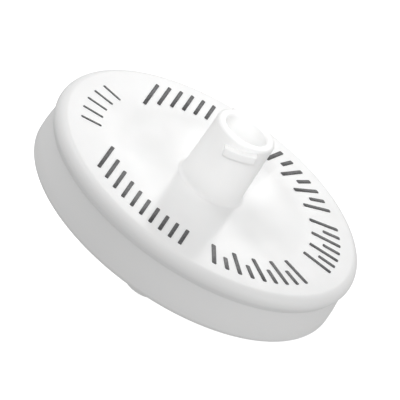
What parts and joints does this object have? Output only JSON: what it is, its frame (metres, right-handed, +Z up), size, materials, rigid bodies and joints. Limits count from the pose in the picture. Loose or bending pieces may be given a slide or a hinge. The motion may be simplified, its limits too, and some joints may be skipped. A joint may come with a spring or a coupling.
{
  "type": "syringe filter",
  "caption": "Disc syringe filter with a luer lock socket on its printed face and a luer slip tip below, lying on its rim and tip.",
  "frame": {"origin": "on the surface it lies on, under the middle of its outline", "axes": "+Z up, +X the way the inlet tube leans, +Y across the disc; the disc's own axis leans 29 degrees from +Z towards +X"},
  "size_m": [0.031, 0.033, 0.0203],
  "materials": {
    "housing": "satin moulded white polypropylene, slightly translucent",
    "membrane": "fine matt nylon membrane",
    "ink": "dark grey pad-printed ink"
  },
  "bodies": {
    "root": {"inlet_housing": "housing", "outlet_housing": "housing", "membrane": "membrane", "printed_marks": "ink"}
  },
  "joints": []
}
